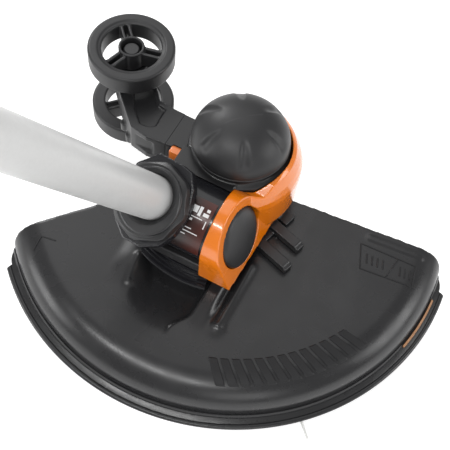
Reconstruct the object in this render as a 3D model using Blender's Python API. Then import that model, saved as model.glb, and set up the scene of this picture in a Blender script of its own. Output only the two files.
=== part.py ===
"""Battery lawn edger: the cutting head with its guard, edging wheels, tilting neck and lower shaft.

Every size below is in millimetres and becomes metres when a mesh is made.
Frame: +Z up. The origin is on the motor's axis, at the flat bottom of the bump knob that the head
stands on. The neck tilts about an axis along X, the user stands on the -Y side, and the edging
wheels are on the -X side.
"""

import math

import bmesh
import bpy
from mathutils import Matrix, Vector

MM = 0.001
GAP = 0.3  # clearance between two pieces that touch on the real object

# Guard: a fan-shaped shell open below, with a rolled lip along its rim
GUARD_RADIUS = 165.0
GUARD_BOTTOM = 14.0
GUARD_WALL = 2.5
GUARD_CROWN = 44.0  # height of the top face at the hub
GUARD_APEX = (-19.3, 4.0)  # where the two straight back edges would meet
GUARD_RIGHT_HEADING = 7.0
GUARD_LEFT_HEADING = -132.6
GUARD_CORNER = 14.0  # plan radius of the two outer corners
HUB_HOLE = 14.0

# Motor and its housing
HOUSING_RADIUS = 34.0
HOUSING_BOTTOM = 50.8
HOUSING_TOP = 103.0
BASE_TOP = 50.5
DOME_RADIUS = 32.3
DOME_BOTTOM = 103.3
DOME_TOP = 128.0
MOTOR_RADIUS = 21.0
SHAFT_RADIUS = 4.0

# Tilt axis, along X
PIVOT_Y = -51.0
PIVOT_Z = 78.0
BARREL_RADIUS = 24.5
BARREL_LEFT = -40.0
BARREL_RIGHT = 14.0
PIN_RADIUS = 4.0

# Lower shaft: its axis crosses the tilt axis at TUBE_FOOT
TUBE_FOOT = (-17.0, PIVOT_Y, PIVOT_Z)
TUBE_DIRECTION = (-0.241, -0.485, 0.841)
TUBE_RADIUS = 14.0
TUBE_BORE = 12.4
TUBE_START = 12.5
TUBE_END = 300.0

# Cover with the tilt button; its outer face leans inwards at the top
FACE_POINT = (37.2, -35.0, 54.0)
FACE_LEAN = 18.0
FACE_HEADING = -2.7
RING_RADIUS = 27.5
BUTTON_RADIUS = 20.3

# Line head under the guard
DRUM_RADIUS = 42.5
KNOB_RADIUS = 34.5
LINE_RADIUS = 0.85
LINE_HEADING = -47.5
LINE_TIP = 176.0
EYELET_HEIGHT = 24.0

# Edging wheels, on a carrier that turns about the arm
ARM_Y = -2.5
ARM_Z = 71.0
ARM_SPLIT = -47.0
WHEEL_X = -99.0
WHEEL_Y = 30.5
WHEEL_RADIUS = 30.1
WHEEL_WIDTH = 14.8
UPPER_WHEEL = 90.0  # lower face of the upper wheel
LOWER_WHEEL = 31.6  # lower face of the lower wheel
AXLE_RADIUS = 3.0


# ---------------------------------------------------------------- materials

def material(name, colour, roughness, metallic=0.0):
    made = bpy.data.materials.new(name)
    made.use_nodes = True
    shader = made.node_tree.nodes["Principled BSDF"]
    shader.inputs["Base Color"].default_value = (*colour, 1.0)
    shader.inputs["Roughness"].default_value = roughness
    shader.inputs["Metallic"].default_value = metallic
    made.diffuse_color = (*colour, 1.0)
    return made


def make_materials():
    return {
        "shell": material("shell", (0.045, 0.045, 0.047), 0.42),
        "cover": material("cover", (0.85, 0.26, 0.02), 0.25),
        "guard": material("guard", (0.042, 0.042, 0.044), 0.45),
        "wheel": material("wheel", (0.055, 0.055, 0.056), 0.5),
        "label": material("label", (0.06, 0.03, 0.025), 0.35),
        "tube": material("tube", (0.72, 0.72, 0.71), 0.35, 0.6),
        "steel": material("steel", (0.6, 0.6, 0.6), 0.3, 1.0),
        "rotor": material("rotor", (0.35, 0.2, 0.12), 0.5, 0.6),
        "nylon": material("nylon", (0.8, 0.8, 0.78), 0.3),
        "tab": material("tab", (0.85, 0.26, 0.02), 0.3),
    }


# ---------------------------------------------------------------- shapes

def on_circle(radius, degrees, centre=(0.0, 0.0)):
    angle = math.radians(degrees)
    return (centre[0] + radius * math.cos(angle), centre[1] + radius * math.sin(angle))


def arc(radius, start, end, steps, centre=(0.0, 0.0)):
    return [on_circle(radius, start + (end - start) * i / steps, centre) for i in range(steps + 1)]


def frame_along(origin, direction, side):
    """A frame at origin whose Z runs along direction and whose X lies nearest to side."""
    z = Vector(direction).normalized()
    x = (Vector(side) - z * Vector(side).dot(z)).normalized()
    turn = Matrix((x, z.cross(x), z)).transposed()
    return Matrix.Translation(Vector(origin)) @ turn.to_4x4()


def x_frame(y, z):
    """Local Z along world X, local X along world Y, local Y along world Z."""
    return frame_along((0.0, y, z), (1, 0, 0), (0, 1, 0))


TUBE_FRAME = frame_along(TUBE_FOOT, TUBE_DIRECTION, (1, 0, 0))
PIVOT_FRAME = x_frame(PIVOT_Y, PIVOT_Z)


def mesh_object(points, faces, frame):
    mesh = bpy.data.meshes.new("shape")
    mesh.from_pydata([(frame @ Vector(p)) * MM for p in points], [], faces)
    shape = bmesh.new()
    shape.from_mesh(mesh)
    bmesh.ops.recalc_face_normals(shape, faces=shape.faces)
    shape.to_mesh(mesh)
    shape.free()
    obj = bpy.data.objects.new("shape", mesh)
    bpy.context.scene.collection.objects.link(obj)
    return obj


def lathe(profile, sides=32, frame=Matrix(), start=0.0, sweep=360.0):
    """The solid that a closed outline of (radius, height) points sweeps about the frame's Z axis."""
    whole = sweep == 360.0
    stations = sides if whole else sides + 1
    points = []
    index = []
    for radius, height in profile:
        if radius == 0:
            index.append([len(points)] * stations)
            points.append((0, 0, height))
            continue
        index.append(list(range(len(points), len(points) + stations)))
        for i in range(stations):
            points.append((*on_circle(radius, start + sweep * i / sides), height))
    faces = []
    for one, two in zip(index, index[1:] + index[:1]):
        for i in range(sides):
            j = (i + 1) % stations
            face = list(dict.fromkeys((one[i], one[j], two[j], two[i])))
            if len(face) > 2:
                faces.append(face)
    if not whole:
        faces.append([ring[0] for ring in index])
        faces.append([ring[-1] for ring in index])
    return mesh_object(points, faces, frame)


def cylinder(radius, low, high, sides=32, frame=Matrix()):
    return lathe([(0, low), (radius, low), (radius, high), (0, high)], sides, frame)


def tube(inner, outer, low, high, sides=32, frame=Matrix()):
    return lathe([(inner, low), (outer, low), (outer, high), (inner, high)], sides, frame)


def prism(outline, low, high, frame=Matrix()):
    count = len(outline)
    points = [(*p, low) for p in outline] + [(*p, high) for p in outline]
    faces = [list(range(count)), list(range(count, 2 * count))]
    for i in range(count):
        j = (i + 1) % count
        faces.append((i, j, j + count, i + count))
    return mesh_object(points, faces, frame)


def box(low, high, frame=Matrix()):
    outline = [(low[0], low[1]), (high[0], low[1]), (high[0], high[1]), (low[0], high[1])]
    return prism(outline, low[2], high[2], frame)


def boolean(operation, base, tools):
    for tool in tools:
        modifier = base.modifiers.new(operation, "BOOLEAN")
        modifier.operation = operation
        modifier.object = tool
        graph = bpy.context.evaluated_depsgraph_get()
        mesh = bpy.data.meshes.new_from_object(base.evaluated_get(graph))
        base.modifiers.clear()
        base.data = mesh
        bpy.data.objects.remove(tool, do_unlink=True)
    return base


def join(base, *tools):
    return boolean("UNION", base, tools)


def cut(base, *tools):
    return boolean("DIFFERENCE", base, tools)


def common(base, *tools):
    return boolean("INTERSECT", base, tools)


class Assembly:
    """Names the finished pieces, gives them their material and hangs them on their body's empty."""

    def __init__(self, materials):
        self.materials = materials
        self.bodies = {}

    def body(self, name, joint=(0.0, 0.0, 0.0)):
        empty = bpy.data.objects.new("body_" + name, None)
        empty.location = Vector(joint) * MM
        empty.empty_display_size = 0.02
        bpy.context.scene.collection.objects.link(empty)
        self.bodies[name] = empty

    def add(self, name, obj, finish, body):
        empty = self.bodies[body]
        obj.name = name
        obj.data.name = name
        obj.data.materials.clear()
        obj.data.materials.append(self.materials[finish])
        if obj.type == "MESH":
            obj.data.shade_smooth()
            obj.data.set_sharp_from_angle(angle=math.radians(35))
        obj.parent = empty
        obj.matrix_parent_inverse = Matrix.Translation(empty.location).inverted()


# ---------------------------------------------------------------- guard and line cutter

def back_edge_point(heading, side, outer):
    """Centre of the corner arc that touches a straight back edge and the circle of radius outer."""
    along = Vector(on_circle(1.0, heading))
    inward = Vector((along.y, -along.x)) * side
    start = Vector(GUARD_APEX) + inward * GUARD_CORNER
    reach = outer - GUARD_CORNER
    b = start.dot(along)
    distance = -b + math.sqrt(b * b - start.dot(start) + reach * reach)
    return start + along * distance, inward


def fan_outline(inset=0.0):
    """Plan of the guard: two straight edges from the apex, rounded corners, an open arc beyond the rim."""
    corner = GUARD_CORNER - inset
    right, right_in = back_edge_point(GUARD_RIGHT_HEADING, 1, GUARD_RADIUS - 4)
    left, left_in = back_edge_point(GUARD_LEFT_HEADING, -1, GUARD_RADIUS - 4)
    right_rim = math.degrees(math.atan2(right.y, right.x))
    left_rim = math.degrees(math.atan2(left.y, left.x))
    right_edge = math.degrees(math.atan2(-right_in.y, -right_in.x))
    left_edge = math.degrees(math.atan2(-left_in.y, -left_in.x))
    apex = Vector(GUARD_APEX) + (right_in + left_in).normalized() * inset * 1.1
    outline = [tuple(apex)]
    outline += arc(corner, right_edge, right_rim, 8, tuple(right))
    outline += arc(GUARD_RADIUS + 10 - inset, right_rim - 2, left_rim + 2, 40)
    outline += arc(corner, left_rim, left_edge - 360 if left_edge > 0 else left_edge, 8, tuple(left))
    return outline


def elbow(across, up, centre, angles):
    """Points of an ellipse's quarter in the (radius, height) plane, at these angles from straight up."""
    return [(centre[0] + across * math.sin(math.radians(a)), centre[1] + up * math.cos(math.radians(a)))
            for a in angles]


def guard_profile():
    """Section of the shell, from the hub out to the lip and back underneath."""
    top = [(0, GUARD_CROWN), (60, GUARD_CROWN), (134, 41.5)]
    shoulder = elbow(22, 18, (134, 23.5), (18, 36, 54, 72, 86))
    rim = [(160.5, 17.5), (GUARD_RADIUS, 16.5), (GUARD_RADIUS, GUARD_BOTTOM), (158.5, GUARD_BOTTOM)]
    inner = elbow(21.5, 16.5, (132, 22.5), (86, 64, 42, 20))
    under = [(60, GUARD_CROWN - GUARD_WALL), (0, GUARD_CROWN - GUARD_WALL)]
    return top + shoulder + rim + inner + under


CUTTER_HEADING = -14.0
CUTTER_SCREWS = (-8.0, 8.0)
GUARD_SCREW_CIRCLE = 30.0
GUARD_SCREW_HEADINGS = (45, 135, 225, 315)


def cutter_frame(offset=0.0):
    """Local Z outwards along the radius at the cutter, local X up, local Y along the rim."""
    x, y = on_circle(1.0, CUTTER_HEADING)
    return frame_along((-y * offset, x * offset, 21.0), (x, y, 0), (0, 0, 1))


def make_guard(assembly):
    shell = lathe(guard_profile(), 60, start=-170, sweep=200)
    guard = common(shell, prism(fan_outline(), GUARD_BOTTOM - 5, GUARD_CROWN + 5))
    flange = cut(
        prism(fan_outline(0.4), 30, 40.8),
        prism(fan_outline(GUARD_WALL), 29, 44),
        tube(130, 190, 29, 44, 60),
        cylinder(50, 29, 44, 48),
    )
    hub = cylinder(42, GUARD_CROWN - GUARD_WALL, GUARD_CROWN, 48)
    guard = join(guard, flange, hub)
    guard = cut(guard, cylinder(HUB_HOLE, 30, 60, 32))
    for heading in GUARD_SCREW_HEADINGS:
        spot = (*on_circle(GUARD_SCREW_CIRCLE, heading), 0)
        guard = cut(guard, cylinder(2.3, 30, 60, 12, Matrix.Translation(spot)))
    for offset in CUTTER_SCREWS:
        guard = join(guard, box((-4, -4, 149.6), (4, 4, 155.5), cutter_frame(offset)))
        guard = cut(guard, cylinder(1.8, 145, 154, 10, cutter_frame(offset)))
    assembly.add("guard", guard, "guard", "head")
    for number, heading in enumerate(GUARD_SCREW_HEADINGS, 1):
        spot = Matrix.Translation((*on_circle(GUARD_SCREW_CIRCLE, heading), 0))
        screw = lathe([(0, 38.7), (4, 38.7), (4, 41.2), (2, 41.2), (2, 49), (0, 49)], 12, spot)
        assembly.add(f"guard_screw_{number}", screw, "steel", "head")


def make_line_cutter(assembly):
    blade = box((-6, -13, 147.5), (5.5, 13, 149.3), cutter_frame())
    for offset in CUTTER_SCREWS:
        blade = cut(blade, cylinder(1.8, 145, 152, 10, cutter_frame(offset)))
    assembly.add("line_cutter", blade, "steel", "head")
    for number, offset in enumerate(CUTTER_SCREWS, 1):
        outline = [(0, 145.4), (3, 145.4), (3, 147.2), (1.5, 147.2), (1.5, 153.5), (0, 153.5)]
        screw = lathe(outline, 10, cutter_frame(offset))
        assembly.add(f"cutter_screw_{number}", screw, "steel", "head")


# ---------------------------------------------------------------- motor and housing

RAIL_HEADING = -17.0
RAILS = ((-3.5, 66.5), (-20.5, 71.0))  # distance beside the axis and outer end of each latch rail
SECTOR_RADIUS = 83.0


def make_motor_base(assembly):
    low = GUARD_CROWN + GAP
    base = cylinder(40, low, BASE_TOP, 48)
    sector = prism([(0, 0)] + arc(SECTOR_RADIUS, -113, -76, 14), low, BASE_TOP)
    base = join(base, sector)
    for beside, end in RAILS:
        turn = Matrix.Rotation(math.radians(RAIL_HEADING), 4, "Z")
        base = join(base, box((20, beside - 3.7, low), (end, beside + 3.7, BASE_TOP - 0.5), turn))
    base = cut(base, cylinder(HUB_HOLE, low - 5, BASE_TOP + 5, 32))
    for heading in GUARD_SCREW_HEADINGS:
        spot = Matrix.Translation((*on_circle(GUARD_SCREW_CIRCLE, heading), 0))
        base = cut(base, cylinder(2.3, low - 5, 49.4, 12, spot))
    assembly.add("motor_base", base, "shell", "head")


BLOCK_TOP = 97.3
NECK_RADIUS = 31.0  # of the housing between the block and the dome
CHEEK_WEB_TOP = 90.0
CHEEK_RIGHT = (14.6, 17.2)
CHEEK_LEFT = (-50.6, -46.2)


def make_motor_housing(assembly):
    """Cup round the motor with the cradle and the two cheeks that carry the tilt axis."""
    outline = [(0, HOUSING_BOTTOM), (HOUSING_RADIUS, HOUSING_BOTTOM), (HOUSING_RADIUS, BLOCK_TOP - 1.6),
               (NECK_RADIUS, BLOCK_TOP), (NECK_RADIUS, HOUSING_TOP), (0, HOUSING_TOP)]
    housing = lathe(outline, 48)
    block = box((-31.5, -46, HOUSING_BOTTOM), (11.6, -18, BLOCK_TOP))
    cradle = box((-31.5, -74, HOUSING_BOTTOM), (11.6, -30, 60))
    beside = CHEEK_RIGHT[0] - 0.01
    housing = cut(
        join(cut(housing, cylinder(BARREL_RADIUS + 1.3, -60, beside, 48, PIVOT_FRAME)),
             cut(block, cylinder(BARREL_RADIUS + 0.5, -60, beside, 48, PIVOT_FRAME)),
             cut(cradle, cylinder(BARREL_RADIUS + 1.3, -60, beside, 48, PIVOT_FRAME))),
    )
    for sides, radius, web_top in ((CHEEK_RIGHT, 23.5, CHEEK_WEB_TOP), (CHEEK_LEFT, 12.0, PIVOT_Z)):
        low, high = sides
        cheek = join(
            cylinder(radius, low, high, 40, PIVOT_FRAME),
            box((low, PIVOT_Y, HOUSING_BOTTOM), (high, -22, web_top)),
            box((low, -58, HOUSING_BOTTOM), (high, -30, 62)),
        )
        housing = join(housing, cheek)
    floor_top = PIVOT_Z - BARREL_RADIUS - GAP
    floor = box((CHEEK_LEFT[0], -58, HOUSING_BOTTOM), (CHEEK_RIGHT[1], -22, floor_top))
    housing = join(housing, floor)
    cavity = cut(
        lathe([(0, 55.5), (31.4, 55.5), (31.4, 93), (28, 95), (28, 105), (0, 105)], 48),
        box((-60, -60, 50), (60, -22.4, 110)),
    )
    housing = cut(
        housing,
        cavity,
        cylinder(10, 40, 60, 24),
        cylinder(PIN_RADIUS + GAP, -60, 30, 20, PIVOT_FRAME),
    )
    assembly.add("motor_housing", housing, "shell", "head")
    pin = cylinder(PIN_RADIUS, CHEEK_LEFT[0] + 0.5, CHEEK_RIGHT[1] - 0.5, 20, PIVOT_FRAME)
    assembly.add("pivot_pin", pin, "steel", "head")


DOME_FLUTES = 6
FLUTE_START = 0.0
DOME_TURN = 2.0  # keeps the dome's edges off the middle of each flute


def dome_arc(radius, low, top, steps):
    """Quarter of an ellipse, from the rim up to the axis."""
    points = []
    for i in range(steps + 1):
        angle = math.radians(90 * i / steps)
        points.append((radius * math.cos(angle) if i < steps else 0, low + (top - low) * math.sin(angle)))
    return points


def make_dome_cap(assembly):
    spring = DOME_BOTTOM + 0.8
    outer = [(DOME_RADIUS, DOME_BOTTOM)] + dome_arc(DOME_RADIUS, spring, DOME_TOP, 9)
    inner = dome_arc(DOME_RADIUS - 2.4, spring, DOME_TOP - 2.4, 6)[::-1] + [(DOME_RADIUS - 2.4, DOME_BOTTOM)]
    dome = lathe(outer + inner, 48, start=DOME_TURN)
    for i in range(DOME_FLUTES):
        heading = FLUTE_START + 360 / DOME_FLUTES * i
        x, y = on_circle(1.0, heading)
        spot = frame_along((x * 38.0, y * 38.0, 102.0), (-x * 0.45, -y * 0.45, 0.9), (-y, x, 0))
        flute = prism([(-5.5, -6), (5.5, -6), (0, 5.4)], 0, 20, spot)
        dome = cut(dome, flute)
    assembly.add("dome_cap", dome, "shell", "head")


def make_motor(assembly):
    can = lathe([(8.4, 56), (MOTOR_RADIUS, 56), (MOTOR_RADIUS, 98), (19.3, 98), (19.3, 58), (8.4, 58)], 24)
    assembly.add("motor_can", can, "steel", "head")
    assembly.add("motor_magnets", tube(16.6, 19, 62, 94, 24), "shell", "head")
    plate = lathe([(8.4, 98.3), (MOTOR_RADIUS, 98.3), (MOTOR_RADIUS, 100.5), (8.4, 100.5)], 24)
    assembly.add("motor_end_plate", plate, "steel", "head")
    assembly.add("bearing_lower", tube(SHAFT_RADIUS + GAP, 8.1, 56, 61, 20), "steel", "head")
    assembly.add("bearing_upper", tube(SHAFT_RADIUS + GAP, 8.1, 97, 101, 20), "steel", "head")
    assembly.add("rotor", tube(SHAFT_RADIUS + GAP, 16, 64, 93, 24), "rotor", "spindle")
    assembly.add("motor_shaft", cylinder(SHAFT_RADIUS, 24, 102, 20), "steel", "spindle")


# ---------------------------------------------------------------- cover and tilt button

def face_frame():
    """Frame on the cover's outer face, local Z along its outward normal."""
    lean, heading = math.radians(FACE_LEAN), math.radians(FACE_HEADING)
    normal = (math.cos(lean) * math.cos(heading), math.cos(lean) * math.sin(heading), math.sin(lean))
    return frame_along(FACE_POINT, normal, (0, 1, 0))


def cover_outline():
    """Side view of the cover in (Y, Z) about the tilt axis: a round top and a sharp lower front corner."""
    ring = arc(RING_RADIUS, 197, 40, 22)
    return [(160, -24), (-26.3, -24)] + ring + [(25, 15.5), (33, 20.5), (43, 23), (160, 23.5)]


def make_cover(assembly):
    side = prism(cover_outline(), 12.3, 60, PIVOT_FRAME)
    side = cut(side, box((-150, -150, 0), (150, 150, 80), face_frame()))
    arm = lathe([(34.6, 54), (41.6, 54), (43.4, 60), (43.4, 83), (41.6, 90), (37.5, 99), (34.6, 101.5)],
                28, start=-64, sweep=164)
    arm = common(arm, prism(cover_outline(), -60, 60, PIVOT_FRAME))
    cover = cut(side, box((0, 2, 0), (100, 200, 150)), cylinder(34.6, 0, 150, 48))
    cover = join(cover, arm)
    cover = cut(
        cover,
        cylinder(BARREL_RADIUS + 0.8, 10, CHEEK_RIGHT[1] + GAP, 40, PIVOT_FRAME),
        box((5, -47, 40), (CHEEK_RIGHT[1] + GAP, 20, CHEEK_WEB_TOP + 4)),
        cylinder(BUTTON_RADIUS + 0.6, 10, 60, 40, PIVOT_FRAME),
    )
    assembly.add("orange_cover", cover, "cover", "head")


def leaning_frame():
    """The tilt axis' frame, sheared so that what is square to it leans like the cover's outer face."""
    lean = Matrix.Identity(4)
    lean[2][1] = -math.tan(math.radians(FACE_LEAN))
    return PIVOT_FRAME @ lean


def make_tilt_button(assembly):
    """A round button whose crown leans like the face round it."""
    crown = [(BUTTON_RADIUS + 1, 26.9), (BUTTON_RADIUS, 27.5), (19, 29.4), (15, 31.2), (8, 32.4), (0, 32.8)]
    crown = lathe([(0, 0), (BUTTON_RADIUS + 1, 0)] + crown, 40, leaning_frame())
    button = common(cylinder(BUTTON_RADIUS, 20.9, 45, 40, PIVOT_FRAME), crown)
    assembly.add("tilt_button", button, "shell", "tilt_button")


# ---------------------------------------------------------------- neck and lower shaft

COLLAR = (31.2, 41.5)
SOCKET_RADIUS = 20.5


# radius and heading of each corner of the neck's flange, which is deeper on the user's side
FLANGE_CORNERS = ((22.4, -5), (22.6, 15), (24.6, 38), (27.4, 60), (26.2, 78), (26.4, 99), (29.2, 115),
                  (27.6, 130), (28.6, 147), (28.0, 170), (29.5, 195), (31.6, 228), (33.2, 250),
                  (31.6, 274), (29.0, 299), (25.4, 322), (23.2, 340))


def make_neck(assembly):
    boss_end = CHEEK_LEFT[1] + GAP
    barrel = lathe([(0, boss_end), (12, boss_end), (12, BARREL_LEFT), (22.5, BARREL_LEFT),
                    (BARREL_RADIUS, BARREL_LEFT + 2), (BARREL_RADIUS, BARREL_RIGHT), (0, BARREL_RIGHT)],
                   48, PIVOT_FRAME)
    socket = cylinder(SOCKET_RADIUS, 0, COLLAR[0] - GAP, 40, TUBE_FRAME)
    flange = prism([on_circle(*corner) for corner in FLANGE_CORNERS], 24.5, COLLAR[0] - GAP, TUBE_FRAME)
    neck = join(barrel, socket, flange)
    neck = cut(
        neck,
        cylinder(PIN_RADIUS + GAP, -60, 30, 20, PIVOT_FRAME),
        cylinder(TUBE_RADIUS + GAP, TUBE_START - GAP, 60, 32, TUBE_FRAME),
    )
    assembly.add("neck_housing", neck, "shell", "neck")
    around = [on_circle(25.15, a) for a in range(90, 181, 6)]
    around += [on_circle(24.8, a) for a in range(180, 89, -6)]
    label = cut(prism(around, -8.5, 10.3, PIVOT_FRAME), cylinder(SOCKET_RADIUS + GAP, 0, 60, 40, TUBE_FRAME))
    assembly.add("rating_label", label, "label", "neck")


def make_lock_collar(assembly):
    """An octagonal ring under a smaller round disc, both set a little towards the user."""
    low, high = COLLAR
    ring_frame = TUBE_FRAME @ Matrix.Translation((-1.2, -2.7, 0))
    disc_frame = TUBE_FRAME @ Matrix.Translation((0.8, -2.2, 0))
    ring = common(
        lathe([(0, low), (25.6, low), (25.6, 36.6), (23.0, 38.3), (0, 38.3)], 40, ring_frame),
        cylinder(26.4, low - 5, high + 5, 8, ring_frame),
    )
    disc = lathe([(0, 38), (20.4, 38), (20.4, 39), (21.4, 39.4), (21.4, 41), (20.8, high), (0, high)],
                 40, disc_frame)
    bore = TUBE_RADIUS + 0.8
    funnel = lathe([(0, low - 5), (bore, low - 5), (bore, 37.5), (18.4, high + 0.5), (0, high + 0.5)],
                   40, TUBE_FRAME)
    collar = cut(join(ring, disc), funnel)
    assembly.add("lock_collar", collar, "shell", "lock_collar")


def make_shaft(assembly):
    shaft = tube(TUBE_BORE, TUBE_RADIUS, TUBE_START, TUBE_END, 40, TUBE_FRAME)
    assembly.add("shaft_tube", shaft, "tube", "shaft")
    plug = lathe([(0, TUBE_END - 18), (TUBE_BORE - GAP, TUBE_END - 18), (TUBE_BORE - GAP, TUBE_END + GAP),
                  (TUBE_RADIUS, TUBE_END + GAP), (TUBE_RADIUS, TUBE_END + 4), (0, TUBE_END + 4)],
                 40, TUBE_FRAME)
    assembly.add("tube_end_plug", plug, "shell", "shaft")


# ---------------------------------------------------------------- line head

def line_route():
    """The cutting line leaves the drum level and droops to just under the guard's rim."""
    count = 36
    points = []
    for i in range(count):
        share = i / (count - 1)
        radius = DRUM_RADIUS + 2 + (LINE_TIP - DRUM_RADIUS - 2) * share
        height = EYELET_HEIGHT - 12.6 * (1 - (1 - share) ** 1.6)
        points.append((*on_circle(radius, LINE_HEADING + 1.2 * share), height))
    return points


def eyelet_frame():
    x, y = on_circle(1.0, LINE_HEADING)
    return frame_along((0, 0, EYELET_HEIGHT), (x, y, 0), (0, 0, 1))


def make_line_head(assembly):
    drum = lathe([(SHAFT_RADIUS + GAP, 33), (40.3, 33), (40.3, 17.3), (DRUM_RADIUS, 17.3),
                  (DRUM_RADIUS, 34), (40.5, 36), (SHAFT_RADIUS + GAP, 36)], 48)
    drum = cut(drum, cylinder(3.1, 30, 50, 12, eyelet_frame()))
    assembly.add("line_drum", drum, "shell", "spindle")
    eyelet = lathe([(1.4, 39.6), (2.8, 39.6), (2.8, 42.9), (3.9, 42.9), (3.9, 44.0), (1.4, 44.0)],
                   12, eyelet_frame())
    assembly.add("line_eyelet", eyelet, "steel", "spindle")
    spool = lathe([(13.5, 19.8), (37, 19.8), (37, 21.3), (15.5, 21.3), (15.5, 31), (37, 31),
                   (37, 32.5), (13.5, 32.5)], 28)
    assembly.add("spool", spool, "nylon", "spindle")
    assembly.add("line_winding", tube(15.8, 33, 21.6, 30.7, 28), "nylon", "spindle")
    cap = lathe([(KNOB_RADIUS + 0.7, 7), (40.5, 7), (43.2, 9.5), (43.2, 17), (KNOB_RADIUS + 0.7, 17)], 48)
    assembly.add("spool_cap", cap, "shell", "spindle")
    spring = tube(8, 11, 14.3, 32.7, 20)
    assembly.add("bump_spring", spring, "steel", "spindle")
    knob = lathe([(0, 0), (32, 0), (KNOB_RADIUS, 2.5), (KNOB_RADIUS, 14), (0, 14)], 48)
    assembly.add("bump_knob", knob, "cover", "bump_knob")


def make_cutting_line(assembly):
    curve = bpy.data.curves.new("cutting_line", "CURVE")
    curve.dimensions = "3D"
    curve.bevel_depth = LINE_RADIUS * MM
    curve.bevel_resolution = 2
    curve.use_fill_caps = True
    route = line_route()
    spline = curve.splines.new("POLY")
    spline.points.add(len(route) - 1)
    for point, place in zip(spline.points, route):
        point.co = (*(Vector(place) * MM), 1.0)
    obj = bpy.data.objects.new("cutting_line", curve)
    bpy.context.scene.collection.objects.link(obj)
    assembly.add("cutting_line", obj, "nylon", "spindle")


# ---------------------------------------------------------------- edging wheels

ARM_FRAME = x_frame(ARM_Y, ARM_Z)


def make_arm(assembly):
    base = box((ARM_SPLIT + GAP, -15.5, 60), (-20, 12.5, 84))
    base = cut(
        base,
        cylinder(HOUSING_RADIUS + GAP, 40, 110, 48),
        cylinder(PIN_RADIUS + GAP, -60, -39, 20, ARM_FRAME),
        box((-42, -20, 68), (-31.7, -13.2, 90)),
    )
    assembly.add("arm_base", base, "shell", "head")
    assembly.add("arm_pin", cylinder(PIN_RADIUS, -58, -39.4, 20, ARM_FRAME), "steel", "head")
    tab = prism([(-20.5, 85.8), (-20.5, 69), (-17, 69), (-13.6, 70.5), (-13.6, 83.8), (-16, 85.8)],
                -41.6, -34, x_frame(0, 0))
    assembly.add("carrier_button", tab, "tab", "carrier_button")


def carrier_outline():
    """Plan of the carrier: straight beside the arm, then bent towards the wheels' axle."""
    nose = arc(13.5, 232, 40, 12, (WHEEL_X, WHEEL_Y))
    return [(ARM_SPLIT, 12.5), (ARM_SPLIT, -15.5), (-61, -17), (-74, -14.5), (-92, 3)] + nose + [
        (-75, 23), (-67, 14), (-57, 13)]


def make_carrier(assembly):
    carrier = prism(carrier_outline(), 60, 84)
    axle_frame = Matrix.Translation((WHEEL_X, WHEEL_Y, 0))
    hub = cylinder(11, LOWER_WHEEL + WHEEL_WIDTH + 1.2, UPPER_WHEEL - 1.2, 28, axle_frame)
    carrier = join(carrier, hub)
    carrier = cut(
        carrier,
        cylinder(PIN_RADIUS + GAP, -60, -40, 20, ARM_FRAME),
        cylinder(AXLE_RADIUS + GAP, 20, 120, 16, axle_frame),
    )
    assembly.add("wheel_carrier", carrier, "shell", "wheel_carrier")
    assembly.add("wheel_axle", cylinder(AXLE_RADIUS, 36.2, 100.2, 16, axle_frame), "steel", "wheel_carrier")
    bore = AXLE_RADIUS + GAP
    for name, foot, up in (("axle_cap_upper", 97.6, 1), ("axle_cap_lower", 38.8, -1)):
        outline = [(bore, 0), (5.6, 0), (5.6, 3.8), (4.8, 4.5), (0, 4.5), (0, 3.0), (bore, 3.0)]
        cap = lathe([(radius, foot + up * height) for radius, height in outline], 16, axle_frame)
        assembly.add(name, cap, "shell", "wheel_carrier")


SPOKE_HEADINGS = (13, 133, 253)


def make_wheel(frame):
    """Wheel with its outer face up: rim, hub with a recess for the axle cap, three pairs of ribs."""
    width = WHEEL_WIDTH
    rim = lathe([(20.5, 0.4), (28.6, 0), (WHEEL_RADIUS, 1.6), (WHEEL_RADIUS, width - 1.6),
                 (28.6, width), (22, width), (20.5, width - 1)], 44, frame)
    bore = AXLE_RADIUS + GAP
    hub = lathe([(bore, 0), (9, 0), (9, width), (6.8, width), (6.8, 7.2), (bore, 7.2)], 28, frame)
    wheel = join(rim, hub)
    for heading in SPOKE_HEADINGS:
        turn = frame @ Matrix.Rotation(math.radians(heading), 4, "Z")
        for side in (-2.6, 2.6):
            wheel = join(wheel, box((8.3, side - 1.1, 1.0), (21.3, side + 1.1, width - 2.2), turn))
    return wheel


def make_wheels(assembly):
    upper = Matrix.Translation((WHEEL_X, WHEEL_Y, UPPER_WHEEL))
    lower = Matrix.Translation((WHEEL_X, WHEEL_Y, LOWER_WHEEL + WHEEL_WIDTH))
    lower = lower @ Matrix.Rotation(math.pi, 4, "X")
    assembly.add("wheel_upper", make_wheel(upper), "wheel", "wheel_upper")
    assembly.add("wheel_lower", make_wheel(lower), "wheel", "wheel_lower")


# ---------------------------------------------------------------- assembly

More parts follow.
